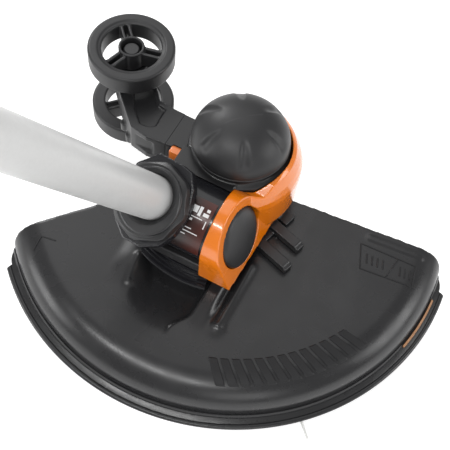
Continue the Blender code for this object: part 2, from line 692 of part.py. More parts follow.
def main():
    for obj in list(bpy.data.objects):
        bpy.data.objects.remove(obj, do_unlink=True)
    assembly = Assembly(make_materials())
    assembly.body("head")
    assembly.body("spindle")
    assembly.body("bump_knob")
    assembly.body("neck", (0, PIVOT_Y, PIVOT_Z))
    assembly.body("lock_collar", TUBE_FOOT)
    assembly.body("shaft", TUBE_FOOT)
    assembly.body("tilt_button", (0, PIVOT_Y, PIVOT_Z))
    assembly.body("wheel_carrier", (ARM_SPLIT, ARM_Y, ARM_Z))
    assembly.body("carrier_button", (-38, -18, 78))
    assembly.body("wheel_upper", (WHEEL_X, WHEEL_Y, UPPER_WHEEL))
    assembly.body("wheel_lower", (WHEEL_X, WHEEL_Y, LOWER_WHEEL))
    make_guard(assembly)
    make_line_cutter(assembly)
    make_motor_base(assembly)
    make_motor_housing(assembly)
    make_dome_cap(assembly)
    make_motor(assembly)
    make_cover(assembly)
    make_tilt_button(assembly)
    make_neck(assembly)
    make_lock_collar(assembly)
    make_shaft(assembly)
    make_line_head(assembly)
    make_cutting_line(assembly)
    make_arm(assembly)
    make_carrier(assembly)
    make_wheels(assembly)


main()
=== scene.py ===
"""Looks of the lawn edger head: fine moulded shells, materials, studio and camera round the CAD frame.

Sizes are in millimetres and become metres when a mesh is made, in the frame of the CAD model: +Z up,
origin on the motor's axis at the ground, the user on the -Y side and the edging wheels on the -X side.
"""

import math

import bmesh
import bpy
import numpy as np
from mathutils import Matrix, Vector


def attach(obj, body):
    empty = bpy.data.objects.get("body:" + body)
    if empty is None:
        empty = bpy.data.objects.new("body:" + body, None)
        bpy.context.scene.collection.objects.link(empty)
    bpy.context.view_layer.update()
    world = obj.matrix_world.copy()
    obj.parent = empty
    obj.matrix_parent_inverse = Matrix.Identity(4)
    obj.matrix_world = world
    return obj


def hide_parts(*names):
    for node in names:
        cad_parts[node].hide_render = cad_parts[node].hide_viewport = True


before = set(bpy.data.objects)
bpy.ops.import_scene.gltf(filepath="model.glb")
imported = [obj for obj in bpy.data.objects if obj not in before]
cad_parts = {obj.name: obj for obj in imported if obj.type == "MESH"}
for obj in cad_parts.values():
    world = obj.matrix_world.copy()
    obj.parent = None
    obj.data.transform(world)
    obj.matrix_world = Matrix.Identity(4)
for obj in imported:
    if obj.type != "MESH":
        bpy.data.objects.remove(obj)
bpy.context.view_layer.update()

MM = 0.001
GAP = 0.3  # clearance between neighbouring pieces, as in the CAD model

# Guard
GUARD_RADIUS = 165.0
GUARD_CROWN = 44.0
GUARD_WALL = 2.5
PLATE_FLAT = 60.0  # radius up to which the plate is level; from there it falls a little
SHOULDER_START = 134.0  # radius at which the plate rolls over into the rim
SHOULDER_FOOT = 23.5
SHOULDER = (22.0, 18.0)  # width and height of the roll
GUARD_APEX = (-19.3, 4.0)  # where the two straight back edges would meet
GUARD_RIGHT = 7.0  # heading of the right back edge
GUARD_LEFT = -132.6  # heading of the left back edge
GUARD_CORNER = 14.0
SHELL_REACH = 161.0  # circle that the two rounded corners touch
BASE_TOP = 50.5
BASE_LOW = GUARD_CROWN + GAP
SHAFT_HOLE = 14.0  # radius of the opening through the guard and the base

# Motor housing and tilt axis
HOUSING_RADIUS = 34.0
HOUSING_BOTTOM = 50.8
HOUSING_TOP = 103.0
DOME_RADIUS = 32.3
DOME_BOTTOM = 103.3
DOME_TOP = 128.0
PIVOT_Y = -51.0
PIVOT_Z = 78.0
BARREL_RADIUS = 24.5
BARREL_LEFT = -40.0
BARREL_RIGHT = 14.0
PIN_RADIUS = 4.0
CHEEK_RIGHT = (14.6, 17.2)
CHEEK_LEFT = (-50.6, -46.2)
BLOCK_TOP = 97.3
BLOCK_SIDES = (-31.5, 11.6)
HOUSING_NECK = 30.2  # radius above the block
CHEEK_WEB_TOP = 90.0

# Lower shaft
TUBE_FOOT = (-17.0, PIVOT_Y, PIVOT_Z)
TUBE_DIRECTION = (-0.241, -0.485, 0.841)
TUBE_RADIUS = 14.0
TUBE_BORE = 12.4
TUBE_START = 12.5
TUBE_END = 300.0
SOCKET_RADIUS = 20.5
COLLAR = (31.2, 41.5)  # along the tube

# Cover and tilt button
COVER_BORE = 34.6
FACE_POINT = (37.2, -35.0, 54.0)  # on the cover's outer face
FACE_LEAN = 18.0
FACE_HEADING = -2.7
RING_RADIUS = 27.5
BUTTON_RADIUS = 20.3

# Line head
DRUM_RADIUS = 42.5
KNOB_RADIUS = 34.5
SHAFT_RADIUS = 4.0
LINE_RADIUS = 0.85
LINE_HEADING = -47.5
LINE_TIP = 176.0
EYELET_HEIGHT = 24.0

# Wheels and their carrier
ARM_Y = -2.5
ARM_Z = 71.0
ARM_SPLIT = -47.0  # where the carrier meets the arm
WHEEL_X = -99.0
WHEEL_Y = 30.5
WHEEL_RADIUS = 30.1
WHEEL_WIDTH = 14.8
UPPER_WHEEL = 90.0  # height of each wheel's lower face
LOWER_WHEEL = 31.6
AXLE_RADIUS = 3.0
SPOKE_HEADINGS = (13, 133, 253)


# ---- camera, floor and light

CAMERA_TARGET = (2.9, -14.1, 14.0)
CAMERA_DISTANCE = 625.6
CAMERA_RIGHT = (0.8868, 0.4567, 0.0706)
CAMERA_UP = (-0.4308, 0.7615, 0.4839)
CAMERA_LENS = 68.69
CAMERA_SENSOR = 36.0


def placed(name, data):
    """A new object in the scene, with this mesh, curve, light or camera."""
    made = bpy.data.objects.new(name, data)
    bpy.context.scene.collection.objects.link(made)
    return made


def make_camera():
    data = bpy.data.cameras.new("camera")
    data.lens = CAMERA_LENS
    data.sensor_width = CAMERA_SENSOR
    camera = placed("camera", data)
    right = Vector(CAMERA_RIGHT).normalized()
    up = Vector(CAMERA_UP)
    up = (up - right * up.dot(right)).normalized()
    back = right.cross(up)
    place = (Vector(CAMERA_TARGET) + back * CAMERA_DISTANCE) * MM
    turn = Matrix((right, up, back)).transposed()
    camera.matrix_world = Matrix.Translation(place) @ turn.to_4x4()
    bpy.context.scene.camera = camera


FLOOR_GLOW = 0.55  # the floor shines a little, like a white sheet lit from below
WORLD_STRENGTH = 0.42


def make_floor():
    mesh = bpy.data.meshes.new("floor")
    half = 4.0
    corners = [(-half, -half, 0), (half, -half, 0), (half, half, 0), (-half, half, 0)]
    mesh.from_pydata(corners, [], [(0, 1, 2, 3)])
    floor = placed("floor", mesh)
    paint = bpy.data.materials.new("floor")
    paint.use_nodes = True
    sockets = paint.node_tree.nodes["Principled BSDF"].inputs
    sockets["Base Color"].default_value = (0.8, 0.8, 0.8, 1)
    sockets["Roughness"].default_value = 0.9
    sockets["Specular IOR Level"].default_value = 0.1
    sockets["Emission Color"].default_value = (1, 1, 1, 1)
    sockets["Emission Strength"].default_value = FLOOR_GLOW
    floor.data.materials.append(paint)


# name, position and target in metres, width and height in metres, power in watts
SOFTBOXES = (
    ("overhead", (-0.5, 0.9, 1.7), (0, -0.05, 0.05), 1.5, 1.5, 7),
    ("strip", (-0.15, -0.86, 1.64), (0, -0.05, 0.03), 1.2, 0.13, 12),
    ("rim", (-1.2, 0.74, 0.97), (0, -0.05, 0.03), 0.5, 0.5, 8),
    ("front", (0.95, -1.35, 0.85), (0, -0.1, 0.03), 0.7, 0.7, 3.5),
    ("right", (1.5, 0.3, 0.75), (0, -0.05, 0.05), 0.8, 0.8, 8),
    ("left", (-1.35, -1.0, 0.6), (0, -0.05, 0.05), 0.7, 0.7, 8),
)


def make_light():
    world = bpy.data.worlds.new("studio")
    world.use_nodes = True
    background = world.node_tree.nodes["Background"]
    background.inputs["Color"].default_value = (1, 1, 1, 1)
    background.inputs["Strength"].default_value = WORLD_STRENGTH
    bpy.context.scene.world = world
    for name, place, target, width, height, power in SOFTBOXES:
        data = bpy.data.lights.new(name, "AREA")
        data.shape = "RECTANGLE"
        data.size = width
        data.size_y = height
        data.energy = power
        light = placed(name, data)
        light.location = place
        aim = Vector(target) - Vector(place)
        light.rotation_euler = aim.to_track_quat("-Z", "Y").to_euler()
    bpy.context.scene.view_settings.view_transform = "Standard"


# ---- materials

class Shader:
    """A Principled material with small helpers for its procedural nodes, in object coordinates."""

    def __init__(self, name, colour, roughness, metallic=0.0):
        self.material = bpy.data.materials.new(name)
        self.material.use_nodes = True
        self.material.diffuse_color = (*colour, 1)
        self.tree = self.material.node_tree
        self.bsdf = self.tree.nodes["Principled BSDF"]
        self.set({"Base Color": (*colour, 1), "Roughness": roughness, "Metallic": metallic})
        self.place = self.node("ShaderNodeTexCoord", {}).outputs["Object"]

    def fill(self, node, inputs):
        """Gives each input of a node its value, or links it to another node's output."""
        for key, value in inputs.items():
            if isinstance(value, bpy.types.NodeSocket):
                self.tree.links.new(value, node.inputs[key])
            else:
                node.inputs[key].default_value = value

    def set(self, inputs):
        self.fill(self.bsdf, inputs)

    def node(self, kind, inputs, **settings):
        made = self.tree.nodes.new(kind)
        for key, value in settings.items():
            setattr(made, key, value)
        self.fill(made, inputs)
        return made

    def noise(self, scale, detail=3.0, stretch=(1, 1, 1)):
        spot = self.node("ShaderNodeMapping", {"Vector": self.place, "Scale": stretch}).outputs["Vector"]
        made = self.node("ShaderNodeTexNoise", {"Vector": spot, "Scale": scale, "Detail": detail})
        return made.outputs["Fac"]

    def spread(self, source, low, high, start=0.3, end=0.7):
        """source as a number that goes from low to high while source goes from start to end."""
        span = {"Value": source, "From Min": start, "From Max": end, "To Min": low, "To Max": high}
        return self.node("ShaderNodeMapRange", span).outputs["Result"]

    def mix(self, share, one, two):
        """Colour one where share is 0 and colour two where it is 1."""
        # a mix node has sockets for each data type: 6 and 7 take its colours and 2 gives the result
        return self.node("ShaderNodeMix", {"Factor": share, 6: one, 7: two}, data_type="RGBA").outputs[2]

    def grain(self, source, depth, strength=1.0, under=None):
        """Bumps the surface by source, on top of the bumps under it."""
        bumps = {"Strength": strength, "Distance": depth * MM, "Height": source}
        if under is not None:
            bumps["Normal"] = under
        normal = self.node("ShaderNodeBump", bumps).outputs["Normal"]
        self.set({"Normal": normal})
        return normal


def tinted(colour, factor):
    return (*(min(1.0, c * factor) for c in colour), 1)


def moulded(name, colour, roughness, grain=0.035, grain_scale=1500, worn=0.5):
    """Injection-moulded plastic: spark-eroded grain, faint flow marks and slightly paler worn edges."""
    made = Shader(name, colour, roughness)
    flow = made.spread(made.noise(18, 5), 0, 1)
    body = made.mix(flow, tinted(colour, 0.88), tinted(colour, 1.14))
    pointiness = made.node("ShaderNodeNewGeometry", {}).outputs["Pointiness"]
    rubbed = {0: made.spread(pointiness, 0, 1, 0.52, 0.62), 1: worn}
    rubbed = made.node("ShaderNodeMath", rubbed, operation="MULTIPLY").outputs[0]
    made.set({"Base Color": made.mix(rubbed, body, tinted(colour, 2.2)),
              "Roughness": made.spread(made.noise(55, 6), roughness - 0.05, roughness + 0.06)})
    ripple = made.grain(made.noise(60, 2), 0.012, 0.5)
    made.grain(made.noise(grain_scale, 2), grain, 1.0, ripple)
    return made.material


def glossy(name, colour, roughness):
    """Polished coloured plastic with a clear coat look and a faint waviness from the mould."""
    made = Shader(name, colour, roughness)
    tone = made.spread(made.noise(30, 4), 0, 1)
    made.set({"Coat Weight": 0.9, "Coat Roughness": 0.1,
              "Base Color": made.mix(tone, tinted(colour, 0.95), tinted(colour, 1.04)),
              "Roughness": made.spread(made.noise(90, 5), roughness - 0.04, roughness + 0.06)})
    wave = made.grain(made.noise(45, 2), 0.03, 0.5)
    made.grain(made.noise(1300, 2), 0.004, 1.0, wave)
    return made.material


def brushed(name, colour, roughness, stretch=(1, 1, 1), metallic=1.0, depth=0.01, drift=0.07):
    """A turned, drawn or anodised surface, with streaks that run where stretch is low."""
    made = Shader(name, colour, roughness, metallic)
    streaks = made.noise(500, 4, stretch)
    tone = made.spread(streaks, 0, 1)
    made.set({"Base Color": made.mix(tone, tinted(colour, 1 - drift), tinted(colour, 1 + drift)),
              "Roughness": made.spread(made.noise(120, 5, stretch), roughness - 0.05, roughness + 0.08)})
    made.grain(streaks, depth)
    return made.material


def printed_film(name, colour, other):
    """Dark label film whose tint drifts from one colour to the other along the tilt axis."""
    made = Shader(name, colour, 0.3)
    along = made.node("ShaderNodeSeparateXYZ", {"Vector": made.place}).outputs["X"]
    drift = made.spread(along, 0, 1, -4 * MM, 11 * MM)
    made.set({"Base Color": made.mix(drift, (*colour, 1), (*other, 1)),
              "Roughness": made.spread(made.noise(200, 4), 0.26, 0.38)})
    made.grain(made.noise(900, 2), 0.01)
    return made.material


def nylon_line(name):
    made = Shader(name, (0.82, 0.82, 0.8), 0.3)
    made.set({"Transmission Weight": 0.55, "IOR": 1.5,
              "Roughness": made.spread(made.noise(300, 3), 0.25, 0.4)})
    made.grain(made.noise(700, 2), 0.01)
    return made.material


def make_materials():
    return {
        "shell": moulded("shell_plastic", (0.015, 0.015, 0.016), 0.33, 0.015),
        "gloss_black": moulded("gloss_black_plastic", (0.011, 0.011, 0.013), 0.22, 0.008, worn=0.3),
        "guard": moulded("guard_plastic", (0.015, 0.015, 0.016), 0.28, 0.012, worn=0.3),
        "guard_pads": moulded("guard_pad_plastic", (0.003, 0.003, 0.004), 0.6, 0.04, 900, worn=0.2),
        "dome": moulded("dome_plastic", (0.016, 0.016, 0.017), 0.45, 0.02),
        "wheel": moulded("wheel_plastic", (0.016, 0.016, 0.017), 0.42, 0.03),
        "cover": glossy("orange_plastic", (0.76, 0.18, 0.0), 0.24),
        "tab": glossy("orange_tab_plastic", (0.76, 0.19, 0.03), 0.35),
        "label": printed_film("label_film", (0.018, 0.009, 0.008), (0.075, 0.012, 0.006)),
        "marks": glossy("label_ink", (0.8, 0.8, 0.8), 0.35),
        "tube": brushed("anodised_tube", (0.55, 0.55, 0.545), 0.36, (1, 1, 1), 0.2, 0.001, 0.015),
        "steel": brushed("turned_steel", (0.55, 0.55, 0.55), 0.28, (1, 1, 6)),
        "copper": brushed("copper_winding", (0.5, 0.2, 0.09), 0.4, (8, 8, 1)),
        "nylon": nylon_line("nylon"),
        # the amber of the rim strip is a painted orange reflection beside the line cutter
        "strip": brushed("painted_orange_reflection", (0.36, 0.17, 0.07), 0.4, (1, 1, 1), 0.0, 0.004),
    }


# ---- shapes

def on_circle(radius, degrees, centre=(0.0, 0.0)):
    angle = math.radians(degrees)
    return (centre[0] + radius * math.cos(angle), centre[1] + radius * math.sin(angle))


def arc(radius, start, end, steps, centre=(0.0, 0.0)):
    return [on_circle(radius, start + (end - start) * i / steps, centre) for i in range(steps + 1)]


def frame_along(origin, direction, side):
    """A frame at origin whose Z runs along direction and whose X lies nearest to side."""
    z = Vector(direction).normalized()
    x = (Vector(side) - z * Vector(side).dot(z)).normalized()
    turn = Matrix((x, z.cross(x), z)).transposed()
    return Matrix.Translation(Vector(origin)) @ turn.to_4x4()


def x_frame(y, z):
    """Local Z along world X, local X along world Y, local Y along world Z."""
    return frame_along((0.0, y, z), (1, 0, 0), (0, 1, 0))


TUBE_FRAME = frame_along(TUBE_FOOT, TUBE_DIRECTION, (1, 0, 0))
PIVOT_FRAME = x_frame(PIVOT_Y, PIVOT_Z)
ARM_FRAME = x_frame(ARM_Y, ARM_Z)
HERE = Matrix.Identity(4)


def mesh_object(points, faces, where=HERE):
    mesh = bpy.data.meshes.new("shape")
    mesh.from_pydata([(where @ Vector(p)) * MM for p in points], [], faces)
    shape = bmesh.new()
    shape.from_mesh(mesh)
    bmesh.ops.recalc_face_normals(shape, faces=shape.faces)
    shape.to_mesh(mesh)
    shape.free()
    return placed("shape", mesh)


def lathe(profile, sides=96, where=HERE, start=0.0, sweep=360.0):
    """The solid that a closed outline of (radius, height) points sweeps about the frame's Z axis."""
    whole = sweep == 360.0
    stations = sides if whole else sides + 1
    points = []
    index = []
    for radius, height in profile:
        if radius == 0:
            index.append([len(points)] * stations)
            points.append((0, 0, height))
            continue
        index.append(list(range(len(points), len(points) + stations)))
        for i in range(stations):
            points.append((*on_circle(radius, start + sweep * i / sides), height))
    faces = []
    for one, two in zip(index, index[1:] + index[:1]):
        for i in range(sides):
            j = (i + 1) % stations
            face = list(dict.fromkeys((one[i], one[j], two[j], two[i])))
            if len(face) > 2:
                faces.append(face)
    if not whole:
        faces.append([ring[0] for ring in index])
        faces.append([ring[-1] for ring in index])
    return mesh_object(points, faces, where)


def cylinder(radius, low, high, where=HERE, sides=96):
    return lathe([(0, low), (radius, low), (radius, high), (0, high)], sides, where)


def tube(inner, outer, low, high, where=HERE, sides=96):
    return lathe([(inner, low), (outer, low), (outer, high), (inner, high)], sides, where)


def prism(outline, low, high, where=HERE):
    count = len(outline)
    points = [(*p, low) for p in outline] + [(*p, high) for p in outline]
    faces = [list(range(count)), list(range(count, 2 * count))]
    faces += [(i, (i + 1) % count, (i + 1) % count + count, i + count) for i in range(count)]
    return mesh_object(points, faces, where)


def box(low, high, where=HERE):
    outline = [(low[0], low[1]), (high[0], low[1]), (high[0], high[1]), (low[0], high[1])]
    return prism(outline, low[2], high[2], where)


def applied(obj):
    """obj with its modifiers made part of its mesh."""
    graph = bpy.context.evaluated_depsgraph_get()
    mesh = bpy.data.meshes.new_from_object(obj.evaluated_get(graph))
    obj.modifiers.clear()
    obj.data = mesh
    return obj


def boolean(operation, base, tools):
    for tool in tools:
        modifier = base.modifiers.new(operation, "BOOLEAN")
        modifier.operation = operation
        modifier.object = tool
        applied(base)
        bpy.data.objects.remove(tool, do_unlink=True)
    return base


def join(base, *tools):
    return boolean("UNION", base, tools)


def cut(base, *tools):
    return boolean("DIFFERENCE", base, tools)


def common(base, *tools):
    return boolean("INTERSECT", base, tools)


def moulding(obj, cell, passes):
    """Rounds every edge the way a mould does: an even skin of cell-sized faces, smoothed by passes."""
    skin = obj.modifiers.new("skin", "REMESH")
    skin.mode = "VOXEL"
    skin.voxel_size = cell * MM
    skin.use_smooth_shade = True
    smooth = obj.modifiers.new("smooth", "SMOOTH")
    smooth.factor = 0.5
    smooth.iterations = passes
    return applied(obj)


def rounded(obj, width):
    bevel = obj.modifiers.new("bevel", "BEVEL")
    bevel.width = width * MM
    bevel.segments = 3
    bevel.limit_method = "ANGLE"
    bevel.angle_limit = math.radians(30)
    return applied(obj)


def reshape(obj, rule):
    """Moves every vertex by rule, which takes and returns an array of points in millimetres."""
    count = len(obj.data.vertices)
    points = np.empty(count * 3)
    obj.data.vertices.foreach_get("co", points)
    points = rule(points.reshape(-1, 3) / MM) * MM
    obj.data.vertices.foreach_set("co", points.ravel())
    obj.data.update()


def ramp(values, low, high):
    """Smooth step from 0 at low to 1 at high, on arrays."""
    share = np.clip((values - low) / (high - low), 0, 1)
    return share * share * (3 - 2 * share)


def pin_bore(where, low, high):
    return cylinder(PIN_RADIUS + GAP, low, high, where)


def finish_piece(obj, name, material, body, nodes, smooth_angle=40):
    """Names, paints and shades a piece, and puts it on its body in place of the CAD nodes it stands for."""
    obj.name = name
    obj.data.name = name
    obj.data.materials.clear()
    obj.data.materials.append(material)
    if obj.type == "MESH":
        obj.data.shade_smooth()
        obj.data.set_sharp_from_angle(angle=math.radians(smooth_angle))
    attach(obj, body)
    if nodes:
        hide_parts(*nodes)


# ---- guard

def corner_arc(heading, side):
    """Centre of a rounded outer corner and the inward direction of its straight back edge."""
    along = Vector(on_circle(1.0, heading))
    inward = Vector((along.y, -along.x)) * side
    start = Vector(GUARD_APEX) + inward * GUARD_CORNER
    reach = SHELL_REACH - GUARD_CORNER
    b = start.dot(along)
    distance = -b + math.sqrt(b * b - start.dot(start) + reach * reach)
    return start + along * distance, inward


def heading_of(vector):
    return math.degrees(math.atan2(vector.y, vector.x))


def fan_outline(inset=0.0):
    """Plan of the guard: two straight edges from the apex, rounded corners, open beyond the rim."""
    corner = GUARD_CORNER - inset
    right, right_in = corner_arc(GUARD_RIGHT, 1)
    left, left_in = corner_arc(GUARD_LEFT, -1)
    right_rim = heading_of(right)
    left_rim = heading_of(left)
    right_edge = heading_of(-right_in)
    left_edge = heading_of(-left_in)
    apex = Vector(GUARD_APEX) + (right_in + left_in).normalized() * inset * 1.1
    outline = [tuple(apex)]
    outline += arc(corner, right_edge, right_rim, 16, tuple(right))
    outline += arc(GUARD_RADIUS + 10 - inset, right_rim - 2, left_rim + 2, 90)
    outline += arc(corner, left_rim, left_edge - 360 if left_edge > 0 else left_edge, 16, tuple(left))
    return outline


def elbow(across, up, centre, angles):
    """Points of an ellipse's quarter in the (radius, height) plane, at these angles from straight up."""
    return [(centre[0] + across * math.sin(math.radians(a)), centre[1] + up * math.cos(math.radians(a)))
            for a in angles]


def guard_profile():
    """Section of the guard: a plate that rolls over into a rim, with the same wall all along."""
    across, up = SHOULDER
    middle = (SHOULDER_START, SHOULDER_FOOT)
    outside = [(0, GUARD_CROWN), (PLATE_FLAT, GUARD_CROWN), (SHOULDER_START, SHOULDER_FOOT + up)]
    outside += elbow(across, up, middle, range(6, 91, 7))
    edge = [(156.4, 19.0), (155.0, 16.6), (153.5, 17.5)]
    inside = elbow(across - GUARD_WALL, up - GUARD_WALL, middle, range(90, 5, -12))
    inside += [(PLATE_FLAT, GUARD_CROWN - GUARD_WALL), (0, GUARD_CROWN - GUARD_WALL)]
    return outside + edge + inside


def surface_height(radius):
    """Height of the guard's outer surface at a distance from the motor's axis, without its relief."""
    across, up = SHOULDER
    fall = (GUARD_CROWN - SHOULDER_FOOT - up) / (SHOULDER_START - PLATE_FLAT)
    if radius < SHOULDER_START:
        return GUARD_CROWN - max(0.0, radius - PLATE_FLAT) * fall
    rolled = min(1.0, (radius - SHOULDER_START) / across)
    return SHOULDER_FOOT + up * math.sqrt(1 - rolled * rolled)


def capsule(x, y, start, end):
    """Distance to a segment and the share along it, for arrays of x and y."""
    dx, dy = end[0] - start[0], end[1] - start[1]
    share = np.clip(((x - start[0]) * dx + (y - start[1]) * dy) / (dx * dx + dy * dy), 0, 1)
    return np.hypot(x - start[0] - share * dx, y - start[1] - share * dy), share


POCKET_DEPTH = 7.0
POCKET_LEFT = (-30.5, -24.5)  # X of the pocket's left edge at the base and at its far end
POCKET_RIGHT = (21.2, 19.0)  # X of its right edge at the same two places
POCKET_FAR = (82.0, 123.0)  # distances from the axis between which the pocket fades out


def pocket_relief(x, y):
    """The recess in front of the motor base: crisp along its right side, fading out left and ahead."""
    out = np.hypot(x, y)
    along = np.clip((-y - 72) / 40, 0, 1)
    left = POCKET_LEFT[0] + (POCKET_LEFT[1] - POCKET_LEFT[0]) * along
    right = POCKET_RIGHT[0] + (POCKET_RIGHT[1] - POCKET_RIGHT[0]) * along - 7 * ramp(-y, 97, 114)
    inside = ramp(x, left, left + 7 + 16 * along) * (1 - ramp(x, right - 2.6, right + 0.4))
    deep = 1 - ramp(out, *POCKET_FAR)
    ahead = ramp(-y, 40, 60)
    return -POCKET_DEPTH * inside * deep * ahead


# start, end, half width and height of each rounded rib beside the pocket; the last one is a bump
FLANK_RIBS = (
    ((-30.2, -80.0), (-27.6, -98.0), 3.0, 2.2),
    ((38.6, -50.0), (38.4, -97.0), 3.4, 2.2),
    ((38.2, -99.0), (38.2, -100.0), 4.6, 1.4),
)


def flank_relief(x, y):
    """Raised shoulders left and right of the pocket, with ribs that catch the light."""
    fade = 1 - ramp(-y, 80, 108)
    start = ramp(-y, 30, 55)
    left_wall = 2.2 * ramp(x, -47.5, -35) * (1 - ramp(x, -31.0, -27.0))
    right_wall = 2.6 * ramp(x, 16, 22) * (1 - ramp(x, 28, 33))
    groove = -2.2 * np.exp(-((x - 33.6) / 2.4) ** 2) * (1 - ramp(-y, 90, 102))
    height = (left_wall + right_wall + groove) * fade * start
    for first, last, half, tall in FLANK_RIBS:
        away, share = capsule(x, y, first, last)
        height = height + tall * np.exp(-(away / half) ** 2) * (1 - 0.4 * share)
    return height


def strip_relief(x, y):
    """Raised stiffening strip along the right back edge."""
    away, share = capsule(x, y, (101.0, 11.6), (138.0, 16.0))
    return 0.6 * (1 - ramp(away, 1.0, 3.6))


def relief(points):
    """Lifts or sinks the guard's plate by the pocket, the ribs and the strip; its rim stays."""
    x, y, z = points.T
    out = np.hypot(x, y)
    plate = ramp(z, 24, 34) * ramp(out, 36, 44) * (1 - ramp(out, 146, 152))
    lift = pocket_relief(x, y) + flank_relief(x, y) + strip_relief(x, y)
    return np.stack((x, y, z + lift * plate), axis=1)


def make_guard(paint):
    """The fan-shaped shell with a flange along its back edges, and the rolled lip round its rim."""
    shell = lathe(guard_profile(), 200, start=-170, sweep=200)
    guard = common(shell, prism(fan_outline(), 9, GUARD_CROWN + 5))
    flange = cut(
        prism(fan_outline(), 29, 40.5),
        prism(fan_outline(GUARD_WALL), 28, 44),
        tube(134, 190, 28, 44),
        cylinder(47, 28, 44),
    )
    hub = cylinder(42, GUARD_CROWN - GUARD_WALL, GUARD_CROWN)
    guard = join(guard, flange, hub)
    guard = cut(guard, cylinder(SHAFT_HOLE, 30, 60))
    guard = moulding(guard, 0.95, 4)
    reshape(guard, relief)
    finish_piece(guard, "guard_shell", paint["guard"], "head", ["guard"], 60)
    lip = [(154.6, 19.6), (156.9, 20.2), (157.9, 19.0), (158.3, 17.9), (160.2, 17.3), (161.6, 16.7),
           (162.2, 17.2), (163.6, 17.2), (164.7, 16.6), (165.0, 15.6), (164.6, 14.3), (163.6, 14.0),
           (159.2, 14.0), (158.2, 14.5), (156.5, 16.2), (154.6, 17.2)]
    rolled = common(lathe(lip, 260, start=-142, sweep=156), prism(fan_outline(), 9, 25))
    finish_piece(rolled, "guard_lip", paint["guard"], "head", (), 50)


BAND_HEADINGS = (-69.0, -26.0)
BAND_RADII = (126.0, 145.0)
BAND_PADS = 13
PAD_SHARE = 0.86  # of the spacing that a pad fills
PAD_SLANT = 0.9  # spacings by which its outer end runs ahead of its inner end


def grid_faces(rows, columns):
    """Faces of a sheet whose points are listed row by row."""
    wide = columns + 1
    corners = [i * wide + j for i in range(rows) for j in range(columns)]
    return [(a, a + 1, a + wide + 1, a + wide) for a in corners]


def surface_patch(outline, rise, steps):
    """A thin raised pad on the guard: a grid between two curves, lifted above the guard's surface."""
    rows, columns = steps
    points = []
    for i in range(rows + 1):
        for j in range(columns + 1):
            x, y = outline(i / rows, j / columns)
            edge = min(i, rows - i, j, columns - j)
            lift = rise if edge > 0 else -0.4
            points.append((x, y, surface_height(math.hypot(x, y)) + lift))
    return points, grid_faces(rows, columns)


def merged(parts):
    """One mesh object from several (points, faces) lists."""
    points, faces = [], []
    for some, sides in parts:
        faces += [tuple(len(points) + i for i in face) for face in sides]
        points += some
    return mesh_object(points, faces)


def make_guard_pads(paint):
    """A plain row of grip pads along the rim, all alike."""
    first, last = BAND_HEADINGS
    step = (last - first) / BAND_PADS
    parts = []
    for pad in range(BAND_PADS):
        low = first + step * pad

        def spot(s, t, low=low):
            radius = BAND_RADII[0] + (BAND_RADII[1] - BAND_RADII[0]) * s
            return on_circle(radius, low + step * (PAD_SHARE * t + PAD_SLANT * (s - 0.5)))

        parts.append(surface_patch(spot, 0.55, (14, 8)))
    finish_piece(merged(parts), "guard_grip_pads", paint["guard_pads"], "head", (), 35)


def rib(route, width, height):
    """A low ridge of half-round section along a route of (x, y) points on the guard."""
    points = []
    count = len(route)
    section = [(math.cos(math.radians(a)), math.sin(math.radians(a))) for a in range(-20, 201, 20)]
    wide = len(section)
    for i, (x, y) in enumerate(route):
        before = Vector(route[max(i - 1, 0)])
        after = Vector(route[min(i + 1, count - 1)])
        along = (after - before).normalized()
        side = Vector((-along.y, along.x))
        for across, up in section:
            px, py = x + side.x * across * width / 2, y + side.y * across * width / 2
            points.append((px, py, surface_height(math.hypot(px, py)) + up * height))
    faces = grid_faces(count - 1, wide - 1)
    for row in (0, count - 1):
        faces.append(tuple(row * wide + j for j in range(wide)))
    return points, faces


def straight(start, end, steps=12):
    return [tuple(start[k] + (end[k] - start[k]) * i / steps for k in (0, 1)) for i in range(steps + 1)]


# Plan of the marking frame, and of the chevron by the left corner
MARK_CORNERS = ((97.1, 4.3), (137.3, 7.0), (140.8, -8.8), (104.0, -13.8))
CHEVRON = ((-95.7, -108.6), (-96.2, -97.4), (-85.8, -95.8))


def in_mark(u, v):
    """A point of the marking frame from its shares along the long and the short side."""
    a, b, c, d = (Vector(p) for p in MARK_CORNERS)
    top = a + (b - a) * u
    low = d + (c - d) * u
    return tuple(top + (low - top) * v)


def make_guard_marks(paint):
    """Embossed frame with plain bars, and a chevron by the left corner."""
    corners = ((0, 0), (1, 0), (1, 1), (0, 1), (0, 0))
    sides = list(zip(corners, corners[1:])) + [((0.5, 0.95), (0.68, 0.05))]
    bars = [((0.12 + 0.1 * i, 0.32), (0.12 + 0.1 * i, 0.7)) for i in range(4)]
    bars += [((0.74 + 0.09 * i, 0.3), (0.74 + 0.09 * i, 0.72)) for i in range(3)]
    parts = [rib(straight(in_mark(*a), in_mark(*b)), 1.0, 0.45) for a, b in sides]
    parts += [rib(straight(in_mark(*a), in_mark(*b), 4), 1.3, 0.4) for a, b in bars]
    parts += [rib(straight(a, b), 1.0, 0.5) for a, b in zip(CHEVRON, CHEVRON[1:])]
    finish_piece(merged(parts), "guard_marks", paint["guard_pads"], "head", (), 50)


def make_rim_reflection_strip(paint):
    """Strip in the groove between the shoulder and the lip, in front of the line cutter; its amber colour
    is a painted orange reflection.
    """
    outline = [(157.4, 18.6), (159.0, 18.0), (159.3, 18.5), (157.9, 20.2)]
    strip = lathe(outline, 40, start=-15.0, sweep=15.5)
    finish_piece(strip, "rim_reflection_strip", paint["strip"], "head", (), 40)


# ---- motor base and housing

RAIL_HEADING = -17.0
RAILS = ((-3.5, 66.5), (-20.5, 71.0))  # distance beside the axis and outer end of each latch rail
RAIL_HALF = 3.7
SECTOR = (-112.5, -76.5)  # headings of the sector foot's two sides
SECTOR_RINGS = (82.4, 80.0, 77.6, 75.2)  # radii of the steps round the sector foot, from its edge inwards


